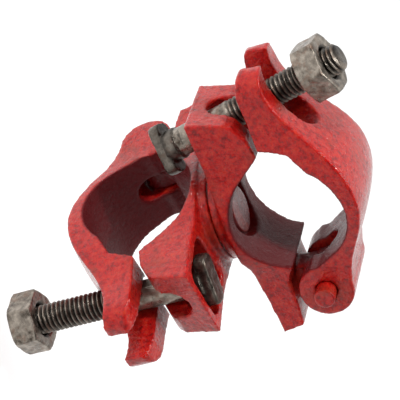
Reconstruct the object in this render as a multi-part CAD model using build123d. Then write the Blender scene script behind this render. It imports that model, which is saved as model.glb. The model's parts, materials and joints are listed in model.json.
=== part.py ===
from build123d import *
import math
import os

# Swivel scaffold coupler: two identical forged tube clamps joined back to back by one rivet.
# Each half is drawn in its own half frame: x towards its bolt, y along its tube and z from the
# swivel face towards the tube. The part's frame has its origin on the axis of tube A, with +Y
# along that tube and +Z along the swivel rivet, towards half A. Lengths are in millimetres.

# Tube and swivel
seat_radius = 24.2        # both jaws, for a tube of 48.3 outside diameter
axis_height = 31.4        # swivel face to tube axis
width = 35.0              # along the tube, at the ears, the leg and the hinge
base_swell = 3.6          # how much further each side face stands out around the middle
flap_swell = 4.8
swivel_skew = -13.7       # degrees away from a right-angle coupler
face_gap = 0.1            # each boss stops this far short of the swivel plane

# Base forging
back_height = 4.2         # back of the casting above the swivel plane
boss_radius = 20.0
ear_end = 51.6            # outer end of the bolt ear
ear_top_end = 47.4
ear_top_height = 21.0
ear_tip = (29.3, 29.0)    # edge of the seat on the bolt side
flare_angle = 50.0        # where the seat runs out in a straight flare, from its lowest point
horn_angle = -74.0        # where the seat ends on the hinge side
shoulder_height = 20.0    # floor under the flap's hinge ears
leg_end = -53.3

# Bolt pocket and slot
pocket_start = 23.5
pocket_end = 47.2
pocket_half_width = 13.0
pocket_ceiling = 16.5
pocket_corner = 4.0
slot_radius = 7.1
slot_floor = 11.5
slot_inner_centre = 37.6

# Hinge
hinge_x = -38.4
hinge_z = 33.5
tongue_half_width = 5.0
tongue_radius = 9.0
tongue_swing_room = 0.9
ear_radius = 11.9
hinge_side_gap = 0.5
hinge_slot_top = 36.5     # where the slot between the flap's ears starts to round off
pin_radius = 4.4
pin_clearance = 0.05
pin_proud = {"a": (3.0, 6.0), "b": (6.0, -1.6)}  # beyond the low and high side faces

# Flap
flap_width = 34.6
flap_underside = 30.2
tine_end = 65.4
tine_corner = 9.5
swell_end = 48.0          # where the flap's side faces are parallel again, beside the bolt
fork_slot_radius = 7.0
fork_slot_centre = 37.4

# Swivel rivet
rivet_radius = 6.0
rivet_clearance = 0.05
rivet_head_radius = 10.0
rivet_head_height = 2.3
recess_floor = 4.6
recess_radius = 12.0

# T-bolt and nut
bolt_length = 90.0
head_length = 22.0
head_width = 10.6
head_thickness = 5.4
head_corner = 4.0
neck_radius = 7.0
neck_height = 10.0
shank_radius = 6.1
thread_radius = 6.35
thread_length = 54.0
end_chamfer = 1.2
nut_across_flats = 23.4
nut_height = 11.4
nut_bore_clearance = 0.05

# Places of the bolts: x and z of the head's outer face, lean towards the ear's outer end,
# turn of the T-head about the bolt, and how far the nut's inner face is from the head
bolt_places = {
    "a": dict(x=34.4, z=-15.0, lean=13.5, head_turn=154.5, nut_at=73.7, nut_turn=20.0),
    "b": dict(x=37.3, z=1.5, lean=0.0, head_turn=-66.0, nut_at=78.0, nut_turn=8.0),
}


def extruded(outline, half_width):
    """Solid from a closed x-z outline, reaching half_width to each side of y = 0."""
    return extrude(make_face(outline), amount=half_width, both=True)


def along_y(radius, x, z, y_low, y_high):
    """Cylinder along y."""
    plane = Plane(origin=(x, y_low, z), x_dir=(1, 0, 0), z_dir=(0, 1, 0))
    return plane * Cylinder(radius, y_high - y_low, align=(Align.CENTER, Align.CENTER, Align.MIN))


def upright(radius, x, z_low, z_high):
    """Cylinder along z, on y = 0."""
    return Pos(x, 0, z_low) * Cylinder(radius, z_high - z_low, align=(Align.CENTER, Align.CENTER, Align.MIN))


def block(x_low, x_high, half_width, z_low, z_high):
    """Box centred on y = 0."""
    return Pos(x_low, 0, z_low) * Box(
        x_high - x_low, 2 * half_width, z_high - z_low, align=(Align.MIN, Align.CENTER, Align.MIN)
    )


def seat_point(angle):
    """Point of the tube's circle, with the angle in degrees from its lowest point towards the bolt."""
    turn = math.radians(angle)
    return (seat_radius * math.sin(turn), axis_height - seat_radius * math.cos(turn))


def xz(*points):
    """Points of the x-z plane in space."""
    return [Vector(x, 0, z) for x, z in points]


def swollen_plan(stations, half_width, swell):
    """Prism over the plan view of a forging, with side faces that swell out around the middle."""
    start, near_hinge, middle, near_bolt, end = stations
    shoulder = half_width + 0.58 * swell
    near = [
        Vector(near_hinge, half_width), Vector((near_hinge + middle) / 2, shoulder),
        Vector(middle, half_width + swell),
        Vector((middle + near_bolt) / 2, shoulder), Vector(near_bolt, half_width),
    ]
    far = [Vector(point.X, -point.Y) for point in reversed(near)]
    level = Vector(1, 0)
    outline = [
        Polyline(far[-1], (start, -half_width), (start, half_width), near[0]),
        Spline(*near, tangents=(level, level)),
        Polyline(near[-1], (end, half_width), (end, -half_width), far[0]),
        Spline(*far, tangents=(-level, -level)),
    ]
    return extrude(make_face(outline), amount=100)


def base_outline():
    """Side view of the base: bolt ear, seat, horn, hinge leg and flat back."""
    flare, low, horn = xz(seat_point(flare_angle), seat_point(0), seat_point(horn_angle))
    ear = xz((ear_end, 5.0), (ear_top_end, ear_top_height), (44.6, 24.0), (37.8, 27.6), ear_tip)
    shoulder = xz((-26.6, 21.8), (-30.2, shoulder_height), (-43.6, shoulder_height), (-51.8, 18.6))
    back = xz((leg_end, 9.0), (-20.0, 6.8), (-14.5, back_height), (21.0, back_height), (29.0, 5.0))
    return [
        Polyline(*ear),
        Line(ear[-1], flare),
        ThreePointArc(flare, low, horn),
        Line(horn, shoulder[0]),
        Polyline(*shoulder, *back, ear[0]),
    ]


def bolt_pocket():
    """Hollow for the T-head, open at the back, with the slot that lets the bolt out."""
    middle = (pocket_start + pocket_end) / 2
    footprint = Pos(middle, 0, -1) * RectangleRounded(
        pocket_end - pocket_start, 2 * pocket_half_width, pocket_corner
    )
    pocket = extrude(footprint, amount=pocket_ceiling + 1)
    slot_centre = slot_floor + slot_radius
    beyond = ear_end + 5
    round_floor = Plane(
        origin=(slot_inner_centre, 0, slot_centre), x_dir=(0, 1, 0), z_dir=(1, 0, 0)
    ) * Cylinder(slot_radius, beyond - slot_inner_centre, align=(Align.CENTER, Align.CENTER, Align.MIN))
    open_top = block(slot_inner_centre, beyond, slot_radius, slot_centre, axis_height)
    inner_end = upright(slot_radius, slot_inner_centre, pocket_ceiling - 2, axis_height)
    return pocket + round_floor + open_top + inner_end


def hinge_tongue():
    """Lug of the base that stands between the flap's ears and holds the hinge pin."""
    round_top = along_y(tongue_radius, hinge_x, hinge_z, -tongue_half_width, tongue_half_width)
    root = block(hinge_x - tongue_radius + 1, hinge_x + tongue_radius - 1, tongue_half_width, 14, hinge_z)
    return round_top + root


def make_base(rivet_hole_radius):
    """Forged base of one half."""
    body = extruded(base_outline(), width / 2 + base_swell)
    body &= swollen_plan((-56, -30, -3, 24, 56), width / 2, base_swell)
    body += upright(boss_radius, 0, face_gap, back_height + 1)
    body += hinge_tongue()
    body -= bolt_pocket()
    body -= upright(rivet_hole_radius, 0, -1, axis_height)
    body -= upright(recess_radius, 0, recess_floor, axis_height)
    body -= along_y(pin_radius, hinge_x, hinge_z, -width, width)
    return body


def flap_outline(crown):
    """Closed outline of the flap's outside; crown is 0 at the side faces and 1 at mid-width."""
    outside = xz((-50.2, 35.0), (-45.6, 42.0), (-31.0, 47.4), (-16.0, 56.0), (0.0, 62.2),
                 (14.0, 61.0), (30.0, 53.0), (44.0, 45.0), (56.0, 42.0), (tine_end - 1.0, 43.0))
    highest, steepness = 1.8, 32.0
    outside = [
        point + Vector(0, 0, crown * highest * math.exp(-((point.X - 8) / steepness) ** 2))
        for point in outside
    ]
    tine = xz((tine_end, 34.0), (tine_end - 2.0, 32.0))
    floor = xz((56.0, flap_underside), (-49.0, flap_underside))
    return [Spline(*outside), Polyline(outside[-1], *tine, *floor, outside[0])]


def flap_bore():
    """Space that the flap leaves for the tube, with a straight flare beside the bolt."""
    start, top, end = xz(seat_point(130), seat_point(180), seat_point(238))
    below = flap_underside - 8
    flare = xz((28.2, 41.5), (30.6, 35.6), (32.6, flap_underside), (32.6, below))
    hinge_side = xz((-26.4, below), (-26.4, 34.0))
    return extruded(
        [ThreePointArc(start, top, end), Polyline(start, *flare, *hinge_side, end)], width
    )


def hinge_slot():
    """Gap between the flap's ears for the tongue, with a round top in the band."""
    inner = tongue_half_width + hinge_side_gap
    start = hinge_x - ear_radius - 6
    end = -seat_radius + 6
    straight = block(start, end, inner, 15, hinge_slot_top)
    round_top = Plane(
        origin=(start, 0, hinge_slot_top), x_dir=(0, 1, 0), z_dir=(1, 0, 0)
    ) * Cylinder(inner, end - start, align=(Align.CENTER, Align.CENTER, Align.MIN))
    swing_room = along_y(tongue_radius + tongue_swing_room, hinge_x, hinge_z, -inner, inner)
    return straight + round_top + swing_room


def make_flap(pin_hole_end):
    """Forged flap of one half: forked at the bolt, crowned band, two ears at the hinge."""
    half = flap_width / 2
    widest = half + flap_swell
    sections = [
        Pos(0, y, 0) * make_face(flap_outline(crown)) for y, crown in ((-widest, 0), (0, 1), (widest, 0))
    ]
    body = loft(sections) & swollen_plan((-60, -36, 6, swell_end, 80), half, flap_swell)
    body += along_y(ear_radius, hinge_x, hinge_z, -half, half)
    body -= flap_bore()
    body -= hinge_slot()
    body -= upright(fork_slot_radius, fork_slot_centre, flap_underside - 5, 90)
    body -= block(fork_slot_centre, tine_end + 5, fork_slot_radius, flap_underside - 5, 90)
    body -= along_y(pin_radius + pin_clearance, hinge_x, hinge_z, -width, pin_hole_end)
    tines = block(swell_end, tine_end, half, 10, 90)
    rounded = fillet(tines.edges().filter_by(Axis.Z).group_by(Axis.X)[-1], tine_corner)
    return body - (block(swell_end, tine_end + 5, width, 10, 90) - rounded)


def make_hinge_pin(proud_low, proud_high):
    """Pin through the base's tongue and the flap's ears."""
    half = flap_width / 2
    pin = along_y(pin_radius, hinge_x, hinge_z, -half - proud_low, half + proud_high)
    return chamfer(pin.edges().filter_by(GeomType.CIRCLE), 0.35)


def make_rivet():
    """Swivel rivet with a flat head in the recess of each seat."""
    head_start = recess_floor + face_gap
    rivet = upright(rivet_radius, 0, -head_start, head_start)
    rivet += upright(rivet_head_radius, 0, head_start, head_start + rivet_head_height)
    rivet += upright(rivet_head_radius, 0, -head_start - rivet_head_height, -head_start)
    return rivet


def make_bolt():
    """T-bolt along +z from the outer face of its head, with the head's length along x."""
    bar = extrude(RectangleRounded(head_length, head_width, head_corner), amount=head_thickness)
    bolt = fillet(bar.edges().group_by(Axis.Z)[0], 1.2)
    bolt += upright(neck_radius, 0, head_thickness - 1, neck_height)
    bolt += upright(shank_radius, 0, neck_height - 1, bolt_length - thread_length)
    thread = upright(thread_radius, 0, bolt_length - thread_length, bolt_length)
    bolt += chamfer(thread.edges().group_by(Axis.Z)[-1], end_chamfer)
    return bolt


def make_nut():
    """Hexagon nut along +z from its inner face, with both faces turned down at the corners."""
    corner_radius = nut_across_flats / math.sqrt(3)
    nut = extrude(RegularPolygon(corner_radius, 6), amount=nut_height)
    turned = upright(corner_radius, 0, 0, nut_height)
    rims = turned.edges().filter_by(GeomType.CIRCLE)
    nut &= chamfer(rims, length=0.9, length2=1.6)
    nut -= upright(thread_radius + nut_bore_clearance, 0, -1, nut_height + 1)
    return nut


def bolt_plane(place, distance):
    """Plane square to the bolt at a distance from its head, with x along the T-head."""
    lean = math.radians(place["lean"])
    along = Vector(math.sin(lean), 0, math.cos(lean))
    origin = Vector(place["x"], 0, place["z"]) + along * distance
    return Plane(origin=origin, x_dir=(math.cos(lean), 0, -math.sin(lean)), z_dir=along)


skew = math.radians(swivel_skew)
half_frames = {
    "a": Plane(origin=(0, 0, -axis_height), x_dir=(1, 0, 0), z_dir=(0, 0, 1)),
    "b": Plane(origin=(0, 0, -axis_height), x_dir=(math.sin(skew), math.cos(skew), 0), z_dir=(0, 0, -1)),
}
rivet_fit = {"a": 0.0, "b": rivet_clearance}
pin_hole_end = {"a": width, "b": flap_width / 2 - 1.5}   # the hole of flap B is blind

pieces = {"swivel_rivet": half_frames["a"] * make_rivet()}
for side, frame in half_frames.items():
    place = bolt_places[side]
    bolt_spot = bolt_plane(place, 0) * Rot(0, 0, place["head_turn"])
    nut_spot = bolt_plane(place, place["nut_at"]) * Rot(0, 0, place["nut_turn"])
    pieces[f"base_{side}"] = frame * make_base(rivet_radius + rivet_fit[side])
    pieces[f"flap_{side}"] = frame * make_flap(pin_hole_end[side])
    pieces[f"hinge_pin_{side}"] = frame * make_hinge_pin(*pin_proud[side])
    pieces[f"t_bolt_{side}"] = frame * bolt_spot * make_bolt()
    pieces[f"nut_{side}"] = frame * nut_spot * make_nut()

os.makedirs("parts", exist_ok=True)
for name, solid in pieces.items():
    export_step(solid, f"parts/{name}.step")
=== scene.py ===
"""Looks of a swivel scaffold coupler: thick red enamel on rough forgings, dark oxidised bolts."""
import bmesh
import bpy
import json
import math
from mathutils import Matrix, Vector, noise


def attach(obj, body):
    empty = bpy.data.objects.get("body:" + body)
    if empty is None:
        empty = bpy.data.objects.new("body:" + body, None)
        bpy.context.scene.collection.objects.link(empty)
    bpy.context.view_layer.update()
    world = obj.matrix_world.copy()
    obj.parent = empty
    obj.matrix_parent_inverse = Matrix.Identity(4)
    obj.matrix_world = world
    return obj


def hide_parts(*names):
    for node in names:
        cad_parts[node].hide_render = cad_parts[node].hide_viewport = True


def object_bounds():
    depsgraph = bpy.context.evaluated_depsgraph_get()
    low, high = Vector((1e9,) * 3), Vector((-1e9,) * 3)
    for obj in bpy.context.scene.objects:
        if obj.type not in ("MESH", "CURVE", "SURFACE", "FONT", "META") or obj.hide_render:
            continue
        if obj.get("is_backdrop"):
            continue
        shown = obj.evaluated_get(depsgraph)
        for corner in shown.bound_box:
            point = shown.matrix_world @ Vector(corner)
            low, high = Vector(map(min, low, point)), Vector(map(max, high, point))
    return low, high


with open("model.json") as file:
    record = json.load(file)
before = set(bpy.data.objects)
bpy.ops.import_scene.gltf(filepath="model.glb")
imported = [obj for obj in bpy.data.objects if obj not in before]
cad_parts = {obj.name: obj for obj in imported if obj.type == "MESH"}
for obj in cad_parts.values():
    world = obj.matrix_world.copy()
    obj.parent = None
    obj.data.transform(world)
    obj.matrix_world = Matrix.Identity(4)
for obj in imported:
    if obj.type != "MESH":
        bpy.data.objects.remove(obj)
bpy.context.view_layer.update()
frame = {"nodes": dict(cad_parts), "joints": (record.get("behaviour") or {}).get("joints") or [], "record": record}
nodes = frame["nodes"]
joints = {joint["name"]: joint for joint in frame["joints"]}
mounts = {mount["name"]: mount for mount in frame["record"]["mounts"]}
bodies = frame["record"]["behaviour"]["bodies"]
node_body = {node: body for body, members in bodies.items() for node in members}

MM = 0.001
weld_distance = 0.002 * MM

# Castings
casting_voxel = 0.7 * MM
casting_rounding = 7          # smoothing passes, which round the edges off
lump_height = 0.16 * MM       # slow waves of the forged skin
wide_lump = 14 * MM
narrow_lump = 6 * MM
lump_sink = 0.8               # share of the lump height by which the whole skin is sunk
peel_height = 0.08 * MM       # orange peel of the thick enamel
peel_size = 2.0 * MM
pit_depth = 0.22 * MM
pit_size = 3.2 * MM
pit_threshold = 0.45
bore_skin = 0.9 * MM          # the painted shade of the bore ends this far from the tube
bore_fade = 0.5               # and fades over this share of that distance
bore_reach = 14 * MM          # on faces that look inwards it fades out here instead
inward_shade = 1.6             # above 1, so that faces that look only partly inwards get painted shade too

# Hinge pins and rivet
pin_voxel = 0.35 * MM
pin_rounding = 5

# T-bolts
neck_height = 10.0 * MM
head_thickness = 5.4 * MM
shank_radius = 6.1 * MM
shank_rings = 24
thread_start = 36.0 * MM
thread_pitch = 2.1 * MM
thread_depth = 1.15 * MM
thread_crest = 6.25 * MM
thread_runout = 3.0 * MM
end_chamfer = 1.3 * MM
steps_per_pitch = 8
steps_around = 56
rod_root = neck_height - 3 * MM     # the rod starts inside the neck
rod_bump_height = 0.05 * MM
rod_bump_size = 2.5 * MM
head_voxel = 0.4 * MM
head_rounding = 4
head_cut = neck_height + 4 * MM     # the head's own mesh ends here, inside the rod
head_darkness = 0.55
neck_shade = 0.3                 # painted shade, added where the neck leaves the bar
neck_shade_reach = 1.5 * MM

# Nuts
nut_voxel = 0.45 * MM
nut_rounding = 3
countersink_radius = 8.0 * MM
countersink_slope = 0.7
bore_play = 0.12 * MM               # widens the bore, so that the thread's skin clears it
# painted shade in the nut's bore is full this far inside the countersink's radius
nut_bore_shade_reach = 1.2 * MM

# Pits of the T-heads and nuts
small_pit_size = 2.5 * MM
small_pit_threshold = 0.3

# Linear colours
deep_red = (0.17, 0.003, 0.003)
bright_red = (0.44, 0.004, 0.004)
orange_streak = (0.50, 0.035, 0.014)
# painted shade: darker colours that the enamel takes in the bores
red_bore_shade = (0.125, 0.012, 0.014)
deep_rivet = (0.25, 0.04, 0.045)
bright_rivet = (0.36, 0.075, 0.08)
rivet_bore_shade = (0.105, 0.014, 0.016)
dark_grain = (0.12, 0.012, 0.010)
brown_grime = (0.19, 0.030, 0.014)
dark_scale = (0.050, 0.040, 0.031)
bare_steel = (0.39, 0.34, 0.285)
rust_brown = (0.20, 0.075, 0.035)
# near black of the painted shade in grooves, bores and the T-head's neck corner, also darkening the whole T-head
groove_black = (0.012, 0.010, 0.009)

# Start of each piece's noise pattern; side B adds 1
seeds = {"base": 1.3, "flap": 4.7, "hinge_pin": 7.1, "t_bolt": 11.9, "nut": 17.3, "rivet": 23.5}


# Meshes

def link(name, mesh):
    """New object for a mesh."""
    piece = bpy.data.objects.new(name, mesh)
    bpy.context.scene.collection.objects.link(piece)
    return piece


def shade_smooth(mesh):
    """Smooth shading on every face."""
    mesh.polygons.foreach_set("use_smooth", [True] * len(mesh.polygons))


def welded(name, cut=None):
    """Copy of a CAD node's mesh with its seams welded, cut off beyond a plane if one is given."""
    mesh = nodes[name].data.copy()
    work = bmesh.new()
    work.from_mesh(mesh)
    bmesh.ops.remove_doubles(work, verts=work.verts, dist=weld_distance)
    if cut:
        point, normal = cut
        parts = work.verts[:] + work.edges[:] + work.faces[:]
        result = bmesh.ops.bisect_plane(work, geom=parts, plane_co=point, plane_no=normal, clear_outer=True)
        rim = [part for part in result["geom_cut"] if isinstance(part, bmesh.types.BMEdge)]
        bmesh.ops.holes_fill(work, edges=rim)
        bmesh.ops.triangulate(work, faces=work.faces)
    work.to_mesh(mesh)
    work.free()
    mesh.materials.clear()
    return mesh


def remeshed(name, mesh, voxel, rounding):
    """Object with an even skin of small faces and rounded edges, made from a closed mesh."""
    source = link("source", mesh)
    remesh = source.modifiers.new("remesh", "REMESH")
    remesh.mode = "VOXEL"
    remesh.voxel_size = voxel
    smooth = source.modifiers.new("smooth", "SMOOTH")
    smooth.factor = 0.5
    smooth.iterations = rounding
    graph = bpy.context.evaluated_depsgraph_get()
    skin = bpy.data.meshes.new_from_object(source.evaluated_get(graph))
    bpy.data.objects.remove(source)
    skin.name = name
    shade_smooth(skin)
    return link(name, skin)


def set_attribute(mesh, name, values):
    """Number stored on each point, for the materials."""
    attribute = mesh.attributes.new(name, "FLOAT", "POINT")
    attribute.data.foreach_set("value", values)


def push(mesh, distance):
    """Moves each point along its normal by distance(point)."""
    normals = [vertex.normal.copy() for vertex in mesh.vertices]
    for vertex, normal in zip(mesh.vertices, normals):
        vertex.co += normal * distance(vertex.co)


def wave(point, size, seed):
    """Smooth noise between -1 and 1 with features of a size."""
    return noise.noise(point / size + Vector((seed, 2 * seed, 3 * seed)))


def pit(point, size, seed, threshold):
    """0 where the noise is under a threshold, and up to 1 in scattered dimples."""
    return max(0.0, wave(point, size, seed) - threshold) / (1 - threshold)


def casting_skin(seed):
    """Uneven skin of an enamelled forging: lumps, orange peel and a few pits."""
    def distance(point):
        lumps = wave(point, wide_lump, seed) + 0.5 * wave(point, narrow_lump, seed + 5)
        peel = wave(point, peel_size, seed + 9)
        pits = pit(point, pit_size, seed + 13, pit_threshold)
        return lump_height * (lumps - lump_sink) + peel_height * peel - pit_depth * pits
    return distance


def small_skin(seed, height, size, sink, pits):
    """Uneven skin of a small piece: lumps of a height and size, sunk by a share of it, and pits."""
    def distance(point):
        lumps = height * (wave(point, size, seed) - sink)
        return lumps - pits * pit(point, small_pit_size, seed + 3, small_pit_threshold)
    return distance


def finish_piece(piece, *replaced, material, slot):
    """Material, body and the CAD nodes that a piece stands for; the slot is not used."""
    piece.data.materials.append(material)
    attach(piece, node_body[replaced[0]])
    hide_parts(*replaced)


# Materials

def new_material(name):
    """New material, its node tree and its principled shader."""
    material = bpy.data.materials.new(name)
    material.use_nodes = True
    tree = material.node_tree
    return material, tree, tree.nodes["Principled BSDF"]


def noise_node(tree, scale, detail=3.0, roughness=0.55, distortion=0.0):
    """Noise texture on the piece's own coordinates, with a scale per metre."""
    place = tree.nodes.new("ShaderNodeTexCoord")
    texture = tree.nodes.new("ShaderNodeTexNoise")
    texture.inputs["Scale"].default_value = scale
    texture.inputs["Detail"].default_value = detail
    texture.inputs["Roughness"].default_value = roughness
    texture.inputs["Distortion"].default_value = distortion
    tree.links.new(place.outputs["Object"], texture.inputs["Vector"])
    return texture.outputs["Fac"]


def ramp(tree, value, *stops):
    """Colour ramp with (position, colour) stops."""
    node = tree.nodes.new("ShaderNodeValToRGB")
    elements = node.color_ramp.elements
    while len(elements) < len(stops):
        elements.new(0.5)
    for element, (position, colour) in zip(elements, stops):
        element.position = position
        element.color = (*colour, 1.0)
    tree.links.new(value, node.inputs["Fac"])
    return node.outputs["Color"]


def spread(tree, value, from_range, to_range):
    """Value mapped from one (start, end) range to another and clamped."""
    node = tree.nodes.new("ShaderNodeMapRange")
    for socket, number in zip(("From Min", "From Max", "To Min", "To Max"), from_range + to_range):
        node.inputs[socket].default_value = number
    tree.links.new(value, node.inputs["Value"])
    return node.outputs["Result"]


def mixed(tree, share, first, second):
    """Mix of a first colour, which is an output, and a second, which is a plain colour."""
    node = tree.nodes.new("ShaderNodeMix")
    node.data_type = "RGBA"
    tree.links.new(share, node.inputs["Factor"])
    tree.links.new(first, node.inputs["A"])
    node.inputs["B"].default_value = (*second, 1.0)
    return node.outputs["Result"]


def attribute_value(tree, name):
    """Number stored on the mesh."""
    node = tree.nodes.new("ShaderNodeAttribute")
    node.attribute_name = name
    return node.outputs["Fac"]


def bump(tree, height, strength, distance, below=None):
    """Bump, on top of another one if given."""
    node = tree.nodes.new("ShaderNodeBump")
    node.inputs["Strength"].default_value = strength
    node.inputs["Distance"].default_value = distance
    tree.links.new(height, node.inputs["Height"])
    if below:
        tree.links.new(below, node.inputs["Normal"])
    return node.outputs["Normal"]


def enamel(name, deep, bright, bore_shade_colour):
    """Thick glossy enamel over rough metal, with a thinner coat in the bore and painted shade there, a darker
    colour.
    """
    material, tree, shader = new_material(name)
    bore = attribute_value(tree, "bore")

    mottling = noise_node(tree, scale=420, detail=8.0, roughness=0.75)
    colour = ramp(tree, mottling, (0.36, deep), (0.50, bright), (0.68, orange_streak))
    grain = noise_node(tree, scale=1150, detail=3.0, roughness=0.6)
    colour = mixed(tree, spread(tree, grain, (0.57, 0.66), (0.0, 0.6)), colour, dark_grain)
    grime = noise_node(tree, scale=75, detail=4.0)
    colour = mixed(tree, spread(tree, grime, (0.52, 0.72), (0.0, 0.55)), colour, brown_grime)
    # painted shade: the darker bore colour, laid on by the bore mask
    colour = mixed(tree, bore, colour, bore_shade_colour)
    tree.links.new(colour, shader.inputs["Base Color"])

    patches = noise_node(tree, scale=300, detail=4.0)
    tree.links.new(spread(tree, patches, (0.3, 0.75), (0.2, 0.5)), shader.inputs["Roughness"])
    peel = bump(tree, noise_node(tree, scale=520, detail=2.0), strength=0.5, distance=0.5 * MM)
    specks = noise_node(tree, scale=1300, detail=3.0, roughness=0.6)
    fine = bump(tree, specks, strength=0.75, distance=0.35 * MM, below=peel)
    tree.links.new(fine, shader.inputs["Normal"])
    shader.inputs["Specular IOR Level"].default_value = 0.1

    ripples = noise_node(tree, scale=780, detail=2.0, roughness=0.5, distortion=0.8)
    tree.links.new(bump(tree, ripples, strength=0.85, distance=0.6 * MM), shader.inputs["Coat Normal"])
    tree.links.new(spread(tree, bore, (0.0, 1.0), (1.0, 0.25)), shader.inputs["Coat Weight"])
    shader.inputs["Coat IOR"].default_value = 1.33
    shader.inputs["Coat Roughness"].default_value = 0.08
    return material


def oxidised_steel(name):
    """Dark scaled steel with patches of rust, nearly black with painted shade in thread grooves and nut bores."""
    material, tree, shader = new_material(name)
    patches = noise_node(tree, scale=260, detail=6.0, roughness=0.65)
    colour = ramp(tree, patches, (0.30, dark_scale), (0.68, bare_steel))
    rust = noise_node(tree, scale=210, detail=6.0, roughness=0.7)
    colour = mixed(tree, spread(tree, rust, (0.52, 0.72), (0.0, 0.6)), colour, rust_brown)
    # painted shade: near black in thread grooves, nut bores and where the T-head's neck meets its bar; the whole
    # T-head is darker too
    colour = mixed(tree, attribute_value(tree, "dark"), colour, groove_black)
    tree.links.new(colour, shader.inputs["Base Color"])

    wear = noise_node(tree, scale=420, detail=4.0)
    tree.links.new(spread(tree, wear, (0.3, 0.7), (0.2, 0.5)), shader.inputs["Roughness"])
    shader.inputs["Metallic"].default_value = 0.85
    dents = noise_node(tree, scale=420, detail=4.0, roughness=0.6)
    dented = bump(tree, dents, strength=0.5, distance=0.5 * MM)
    specks = noise_node(tree, scale=2200, detail=2.0)
    fine = bump(tree, specks, strength=0.25, distance=0.1 * MM, below=dented)
    tree.links.new(fine, shader.inputs["Normal"])
    return material


red_enamel = enamel("red_enamel", deep_red, bright_red, red_bore_shade)
rivet_paint = enamel("rivet_paint", deep_rivet, bright_rivet, rivet_bore_shade)
black_steel = oxidised_steel("black_steel")


# Castings, pins and rivet

def bore_shade_share(point, normal, side):
    """Share of painted shade: 1 on the surface that grips the tube, fading away from it over the faces that look
    inwards.
    """
    mount = mounts["tube_" + side]
    axis = Vector(mount["axis"])
    offset = point - Vector(mount["pos_m"])
    outwards = offset - axis * offset.dot(axis)
    beyond = outwards.length - mount["dims"]["r_mm"] * MM
    gripping = (bore_skin - beyond) / (bore_fade * bore_skin)
    inwards = max(0.0, -normal.dot(outwards.normalized()))
    return min(1.0, max(0.0, gripping, inward_shade * inwards * (1 - beyond / bore_reach)))


def casting(name, side, seed):
    """Enamelled forging that stands for a CAD node."""
    piece = remeshed(name + "_casting", welded(name), casting_voxel, casting_rounding)
    mesh = piece.data
    # share of painted shade in the bore, kept on each point for the enamel
    set_attribute(mesh, "bore", [bore_shade_share(vertex.co, vertex.normal, side) for vertex in mesh.vertices])
    push(mesh, casting_skin(seed))
    finish_piece(piece, name, material=red_enamel, slot="red_enamel")


def small_painted(name, material, slot, seed):
    """Painted pin or rivet."""
    piece = remeshed(name + "_painted", welded(name), pin_voxel, pin_rounding)
    mesh = piece.data
    # no painted bore shade on pins and rivet
    set_attribute(mesh, "bore", [0.0] * len(mesh.vertices))
    push(mesh, small_skin(seed, height=0.07 * MM, size=3 * MM, sink=0.5, pits=0.0))
    finish_piece(piece, name, material=material, slot=slot)


# Bolts and nuts

def bolt_line(side):
    """Middle of a bolt's head face, its direction and its length, from the CAD node."""
    axis = Vector(joints[f"nut_{side}_travel"]["axis"]).normalized()
    points = [vertex.co for vertex in nodes["t_bolt_" + side].data.vertices]
    far = max(point.dot(axis) for point in points)
    near = min(point.dot(axis) for point in points)
    end_slice = 0.1 * MM
    end_points = [point for point in points if point.dot(axis) > far - end_slice]
    end = sum(end_points, Vector()) / len(end_points)
    return end - axis * (far - near), axis, far - near


def thread_radius_at(height, turn, length):
    """Radius of the rod at a height and a share of a turn, and how deep in the groove that is, up to 1."""
    if height < thread_start:
        return shank_radius, 0.0
    phase = (height / thread_pitch - turn) % 1.0
    slope = abs(2 * phase - 1)
    groove = slope * slope * (3 - 2 * slope)
    run = min(1.0, (height - thread_start) / thread_runout)
    radius = thread_crest - thread_depth * groove * run
    chamfered = thread_crest + length - end_chamfer - height
    return min(radius, chamfered), groove * run


def rod(side, seed):
    """Shank with its helical thread, closed at both ends."""
    start, axis, length = bolt_line(side)
    across = axis.orthogonal().normalized()
    third = axis.cross(across)
    step = thread_pitch / steps_per_pitch
    thread_rings = int((length - thread_start) / step)
    heights = [rod_root + (thread_start - rod_root) * i / shank_rings for i in range(shank_rings)]
    heights += [thread_start + step * i for i in range(thread_rings)] + [length]
    work = bmesh.new()
    rings = []
    dark = []
    for height in heights:
        ring = []
        for i in range(steps_around):
            turn = i / steps_around
            radius, depth = thread_radius_at(height, turn, length)
            angle = math.tau * turn
            outwards = across * math.cos(angle) + third * math.sin(angle)
            spot = start + axis * height + outwards * radius
            spot += outwards * rod_bump_height * (wave(spot, rod_bump_size, seed) - 1)
            ring.append(work.verts.new(spot))
            # painted shade, darker deeper in the thread's groove
            dark.append(depth)
        rings.append(ring)
    for below, above in zip(rings, rings[1:]):
        for i in range(steps_around):
            j = (i + 1) % steps_around
            work.faces.new((below[i], below[j], above[j], above[i]))
    work.faces.new(list(reversed(rings[0])))
    work.faces.new(rings[-1])
    mesh = bpy.data.meshes.new("rod")
    work.to_mesh(mesh)
    work.free()
    shade_smooth(mesh)
    set_attribute(mesh, "dark", dark)
    return link("rod", mesh)


def t_head(side, seed):
    """Forged T-head of a bolt from the CAD node, darker all over and darkest, with painted shade, where the neck
    meets the bar.
    """
    start, axis = bolt_line(side)[:2]
    cut = (start + axis * head_cut, axis)
    piece = remeshed("t_head", welded("t_bolt_" + side, cut), head_voxel, head_rounding)
    mesh = piece.data
    dark = []
    for vertex in mesh.vertices:
        from_corner = abs((vertex.co - start).dot(axis) - head_thickness)
        # painted shade in the corner where the neck leaves the bar, on a head that is darker all over
        dark.append(head_darkness + neck_shade * max(0.0, 1 - from_corner / neck_shade_reach))
    push(mesh, small_skin(seed, height=0.2 * MM, size=4 * MM, sink=0.4, pits=0.35 * MM))
    set_attribute(mesh, "dark", dark)
    return piece


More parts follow.
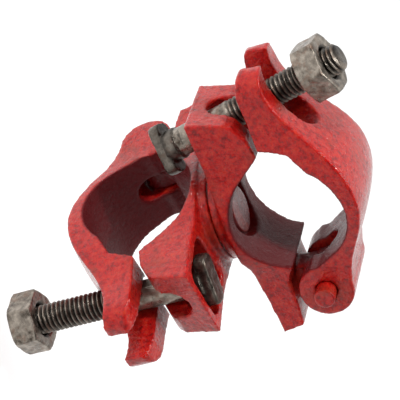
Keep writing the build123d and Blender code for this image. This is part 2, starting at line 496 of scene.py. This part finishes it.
def t_bolt(side, seed):
    """Whole T-bolt: head, neck and threaded shank in one piece."""
    head = t_head(side, seed)
    shank = rod(side, seed)
    with bpy.context.temp_override(active_object=head, selected_editable_objects=[head, shank]):
        bpy.ops.object.join()
    head.name = f"t_bolt_{side}_forged"
    finish_piece(head, "t_bolt_" + side, material=black_steel, slot="black_steel")


def nut(side, seed):
    """Forged hexagon nut with a countersunk bore and dented corners."""
    name = "nut_" + side
    piece = remeshed(name + "_forged", welded(name), nut_voxel, nut_rounding)
    start, axis = bolt_line(side)[:2]
    mesh = piece.data
    heights = [(vertex.co - start).dot(axis) for vertex in mesh.vertices]
    middle = (max(heights) + min(heights)) / 2
    dark = []
    for vertex, height in zip(mesh.vertices, heights):
        offset = vertex.co - start - axis * height
        inside = max(0.0, countersink_radius - offset.length)
        vertex.co -= axis * math.copysign(countersink_slope * inside, height - middle)
        if inside:
            vertex.co += offset.normalized() * bore_play
        # painted shade in the nut's bore
        dark.append(min(1.0, inside / nut_bore_shade_reach))
    mesh.update()
    push(mesh, small_skin(seed, height=0.16 * MM, size=5 * MM, sink=0.5, pits=0.12 * MM))
    set_attribute(mesh, "dark", dark)
    finish_piece(piece, name, material=black_steel, slot="black_steel")


for number, side in enumerate("ab"):
    casting("base_" + side, side, seeds["base"] + number)
    casting("flap_" + side, side, seeds["flap"] + number)
    small_painted("hinge_pin_" + side, red_enamel, "red_enamel", seeds["hinge_pin"] + number)
    t_bolt(side, seeds["t_bolt"] + number)
    nut(side, seeds["nut"] + number)
small_painted("swivel_rivet", rivet_paint, "rivet_paint", seeds["rivet"])


# Camera, lights and surroundings, in metres

def camera():
    """Long lens on the swivel, rolled so that the rivet lies nearly level."""
    towards = Vector((0.4352, 0.8320, 0.3440)).normalized()
    right = Vector((-0.3733, -0.1810, 0.9099))
    right = (right - towards * right.dot(towards)).normalized()
    up = towards.cross(right)
    distance = 1.115
    view_width = 1 / 6            # width of the picture at the swivel
    aim_left = 0.01058            # from the swivel to the middle of the picture
    aim_up = 0.00496
    data = bpy.data.cameras.new("camera")
    data.sensor_width = 36.0
    data.lens = data.sensor_width * distance / view_width
    data.clip_end = 20.0
    obj = bpy.data.objects.new("camera", data)
    bpy.context.scene.collection.objects.link(obj)
    swivel = Vector(joints["swivel"]["pos_m"])
    place = swivel + towards * distance - right * aim_left + up * aim_up
    turn = Matrix((right, up, towards)).transposed().to_4x4()
    obj.matrix_world = Matrix.Translation(place) @ turn
    bpy.context.scene.camera = obj
    return right, up, towards


def area_light(name, direction, distance, size, power):
    """Soft square light that faces the object from a direction."""
    data = bpy.data.lights.new(name, "AREA")
    data.size = size
    data.energy = power
    obj = bpy.data.objects.new(name, data)
    bpy.context.scene.collection.objects.link(obj)
    obj.location = direction.normalized() * distance
    obj.rotation_euler = direction.to_track_quat("Z", "Y").to_euler()
    obj.visible_camera = False


def studio_world(towards):
    """Pale surroundings that are darker on the camera's side."""
    world = bpy.data.worlds.new("studio")
    world.use_nodes = True
    tree = world.node_tree
    place = tree.nodes.new("ShaderNodeTexCoord")
    facing = tree.nodes.new("ShaderNodeVectorMath")
    facing.operation = "DOT_PRODUCT"
    facing.inputs[1].default_value = towards
    tree.links.new(place.outputs["Generated"], facing.inputs[0])
    strength = spread(tree, facing.outputs["Value"], (-0.3, 0.7), (0.8, 0.04))
    background = tree.nodes["Background"]
    background.inputs["Color"].default_value = (1, 1, 1, 1)
    tree.links.new(strength, background.inputs["Strength"])
    bpy.context.scene.world = world


def pale_floor():
    """Plain floor below the object."""
    drop = 0.03
    half_width = 3.0
    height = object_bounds()[0][2] - drop
    corners = [(x * half_width, y * half_width, height) for x, y in ((-1, -1), (1, -1), (1, 1), (-1, 1))]
    mesh = bpy.data.meshes.new("floor")
    mesh.from_pydata(corners, [], [(0, 1, 2, 3)])
    floor = link("floor", mesh)
    material, _, shader = new_material("pale_floor")
    shader.inputs["Base Color"].default_value = (0.5, 0.5, 0.5, 1)
    shader.inputs["Roughness"].default_value = 0.8
    shader.inputs["Emission Color"].default_value = (1, 1, 1, 1)
    shader.inputs["Emission Strength"].default_value = 0.62
    mesh.materials.append(material)
    floor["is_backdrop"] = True


right, up, towards = camera()
area_light("key", up * 1.0 + towards * 0.5 + right * 0.25, distance=0.9, size=0.3, power=1.0)
area_light("side", right * 1.0 + towards * 0.35 + up * 0.3, distance=1.0, size=0.35, power=6.0)
area_light("front", towards * 1.0 - right * 0.1 + up * 0.9, distance=1.3, size=0.16, power=8.0)
area_light("low", towards * 0.8 - right * 0.9 - up * 0.5, distance=1.0, size=0.15, power=2.4)
area_light("sparkle", towards * 1.0 + right * 0.75 + up * 0.35, distance=1.0, size=0.05, power=2.8)
studio_world(towards)
pale_floor()
bpy.context.scene.view_settings.view_transform = "Standard"
